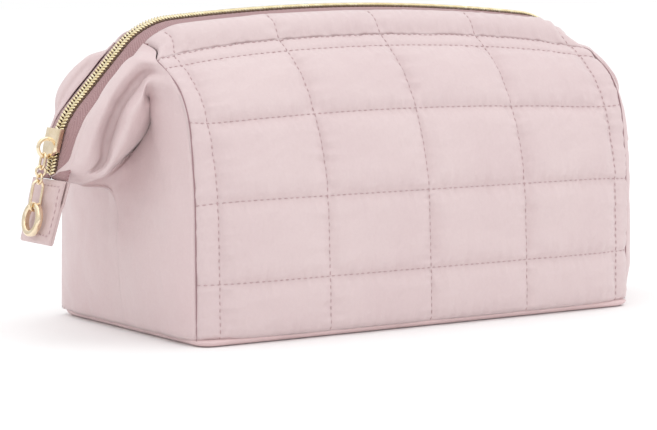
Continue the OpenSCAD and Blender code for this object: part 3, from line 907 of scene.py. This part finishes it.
def make_coil(side, mirror):
    """Slanting coil turns, those of the back between those of the front."""
    parts = []
    shift = TOOTH_PITCH / 2 if side == "back" else 0.0
    for d in np.arange(-COIL_END + shift, COIL_END, TOOTH_PITCH):
        parts.append(bead([zip_point(d + a, u, h) for a, u, h in COIL_TURN], TOOTH_RADIUS))
    coil = make_object(side + "_coil_turns", *mirrored_parts(parts, mirror), COIL_GOLD)
    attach(coil, side + "_mouth")
    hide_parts(side + "_zip_coil")
    # The coil's sewing stitches are real; their dark brown paints the shadows between the coil turns along
    # its edges.
    line = [zip_point(d, *COIL_SEWING) for d in np.arange(-COIL_END, COIL_END, TOOTH_PITCH)]
    parts = stitches_along(line, COIL_SEWING_PITCH, COIL_SEWING_LENGTH, COIL_SEWING_RADIUS)
    sewing = make_object(side + "_coil_sewing_and_shadow", *mirrored_parts(parts, mirror), ZIP_THREAD_AND_SHADOW)
    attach(sewing, side + "_mouth")


WELD_DISTANCE = 0.00001
BEVEL_ANGLE, SMOOTH_ANGLE = math.radians(40), math.radians(45)
SLIDER_BEVEL, RING_BEVEL = 0.25, 0.2


def polished(node, bevel, material, body):
    """A copy of a metal CAD node with rounded edges."""
    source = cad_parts[node]
    made = bpy.data.objects.new(node + "_polished", source.data.copy())
    bpy.context.scene.collection.objects.link(made)
    made.data.materials.clear()
    made.data.materials.append(material)
    weld = made.modifiers.new("weld", "WELD")
    weld.merge_threshold = WELD_DISTANCE
    if bevel:
        edge = made.modifiers.new("edge", "BEVEL")
        edge.width = bevel * MM
        edge.segments = 3
        edge.limit_method = "ANGLE"
        edge.angle_limit = BEVEL_ANGLE
        edge.harden_normals = False
    bpy.context.view_layer.objects.active = made
    made.select_set(True)
    bpy.ops.object.shade_smooth_by_angle(angle=SMOOTH_ANGLE)
    made.select_set(False)
    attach(made, body)
    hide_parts(node)


def make_hardware():
    polished("zip_slider", SLIDER_BEVEL, GOLD, "slider")
    for node in ("oval_link", "round_link", "small_link", "long_link"):
        polished(node, 0, GOLD, node)
    polished("pull_ring", RING_BEVEL, GOLD, "pull_ring")


# ---------------------------------------------------------------- tabs

TAB_WIDTH = 26.0
TAB_LENGTH = 25.0
TAB_LEANS = {"left": math.radians(16), "right": 0.0}
TAB_LAYER = 0.8
TAB_GAP = 0.45
# Length of zip tape held between the folded faces.
TAB_TAPE = 8.0
TAB_SWELL, TAB_SWELL_REACH = 0.55, 3.2
# The dip along the stitches, and how far they run inside the edge.
TAB_DIP, TAB_DIP_WIDTH, TAB_STITCH_INSET = 0.25, 0.5, 2.2
TAB_TWIST = 0.035
TAB_DROP = 0.3
TAB_STITCH_LIFT = np.array([-0.15, 0, -0.05])


def make_tab(end, mirror):
    """A strip folded double over the end of the zip, with stitches round its outer face."""
    face = TAB_GAP + TAB_LAYER
    lean = TAB_LEANS[end]
    depths = np.linspace(0, TAB_LENGTH - face, 22)
    turn = np.linspace(0, math.pi, 9)[1:-1]
    outline = [(-face, -d) for d in depths]
    outline += [(-face * math.cos(a), -(TAB_LENGTH - face) - face * math.sin(a)) for a in turn]
    outline += [(face, -d) for d in depths[::-1]]
    across = np.linspace(-TAB_WIDTH / 2, TAB_WIDTH / 2, 27)
    x0, z0, _ = zip_frame(ZIP_HALF)
    points = np.zeros((len(outline), len(across), 3))
    for i, (out, down) in enumerate(outline):
        for j, y in enumerate(across):
            # The outer face swells gently inside its stitching.
            inset = min(TAB_WIDTH / 2 - abs(y), -down, TAB_LENGTH + down)
            dip = TAB_DIP * math.exp(-((inset - TAB_STITCH_INSET) / TAB_DIP_WIDTH) ** 2)
            swell = TAB_SWELL * float(ease(inset / TAB_SWELL_REACH)) - dip
            twist = TAB_TWIST * y * (-down / TAB_LENGTH)
            pressed = ease((-down - TAB_TAPE) / 3)
            thin = 1 - pressed * TAB_GAP / face
            out_here = out * thin - (swell if out < 0 else 0) + twist
            points[i, j] = (
                x0 + out_here * math.cos(lean) + down * math.sin(lean),
                y,
                z0 - TAB_DROP - out_here * math.sin(lean) + down * math.cos(lean),
            )
    tab = sheet_object(end + "_tab", mirror(points), TAB_CLOTH, TAB_LAYER, end == "right")
    body = end + "_zip_end"
    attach(tab, body)
    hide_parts(end + "_zip_tab")
    rows = len(depths)
    left, right, top, bottom = 2, -3, 2, rows - 3
    lines = [points[top:bottom + 1, left], points[bottom, left:right + 1],
             points[top:bottom + 1, right], points[top, left:right + 1]]
    parts = [stitch for line in lines for stitch in stitches_along(line + TAB_STITCH_LIFT)]
    thread = make_object(end + "_tab_stitches", *mirrored_parts(parts, mirror), THREAD)
    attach(thread, body)


# ---------------------------------------------------------------- base

BASE_CORNER = 7.0
# How far the outline reaches past the end seams, and half its depth.
BASE_REACH, BASE_HALF_DEPTH = 1.2, 57.6
CORNER_STEPS = 12
OUTLINE_POINTS = 220
# The base's section, as [spread past the outline, height].
BASE_SECTION = [(-12.0, 0.0), (-5.4, 0.0), (-3.2, 0.3), (-2.0, 1.0), (-1.5, 1.9), (-1.6, 2.5), (-2.8, 2.9)]


def base_outline(spread, height):
    """A rounded rectangle at the walls' foot. A negative spread lies inside it."""
    half_x, half_y = SEAM_X + BASE_REACH + spread, BASE_HALF_DEPTH + spread
    corner = BASE_CORNER + spread * 0.5
    points = []
    for centre_angle, sx, sy in ((0, 1, 1), (90, -1, 1), (180, -1, -1), (270, 1, -1)):
        for step in range(CORNER_STEPS + 1):
            angle = math.radians(centre_angle + step * 90 / CORNER_STEPS)
            points.append((
                sx * (half_x - corner) + corner * math.cos(angle),
                sy * (half_y - corner) + corner * math.sin(angle),
                height,
            ))
    points.append(points[0])
    points = np.array(points)
    travel = np.concatenate([[0], np.cumsum(np.linalg.norm(np.diff(points, axis=0), axis=1))])
    at = np.linspace(0, travel[-1], OUTLINE_POINTS, endpoint=False)
    return np.stack([np.interp(at, travel, points[:, k]) for k in range(3)], -1)


# The base lining lies a little under its CAD node's top, with a faint ripple.
LAID_BELOW, LAID_RIPPLE = 0.4, 0.35


def make_base():
    rings = np.array([base_outline(spread, height) for spread, height in BASE_SECTION])
    count = rings.shape[1]
    vertices = rings.reshape(-1, 3)
    faces = [
        (i * count + j, i * count + (j + 1) % count, (i + 1) * count + (j + 1) % count, (i + 1) * count + j)
        for i in range(len(rings) - 1)
        for j in range(count)
    ]
    faces.append(tuple(range(count))[::-1])
    faces.append(tuple((len(rings) - 1) * count + j for j in range(count)))
    base = make_object("base_shell", vertices, faces, BASE_CLOTH, vertices[:, :2])
    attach(base, "bag")
    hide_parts("base_panel", "base_wadding")
    low, high = node_box("base_lining")
    xs, ys = np.linspace(low[0], high[0], 50), np.linspace(low[1], high[1], 28)
    x, y = np.meshgrid(xs, ys)
    z = high[2] - LAID_BELOW + LAID_RIPPLE * ripple(np.stack([x, y, 0 * x], -1), 22, 2.0)
    laid = np.stack([x, y, z], -1)
    floor = sheet_object("base_lining_sheet", laid, LINING, LINING_THICKNESS)
    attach(floor, "bag")
    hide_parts("base_lining")


def finish_wires():
    for side in ("front", "back"):
        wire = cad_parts[side + "_wire"]
        wire.data.materials.clear()
        wire.data.materials.append(STEEL)


make_camera()
make_studio()
for side, mirror in (("front", lambda p: p), ("back", flip_y)):
    make_quilting(side, mirror)
    make_facing(side, mirror)
    make_tape(side, mirror)
    make_coil(side, mirror)
for end, turn_x in (("left", lambda p: p), ("right", flip_x)):
    for side, turn_y in (("front", lambda p: p), ("back", flip_y)):
        make_gusset(end, side, lambda p, tx=turn_x, ty=turn_y: tx(ty(p)))
    make_tab(end, turn_x)
make_hardware()
make_base()
finish_wires()

bpy.context.view_layer.update()
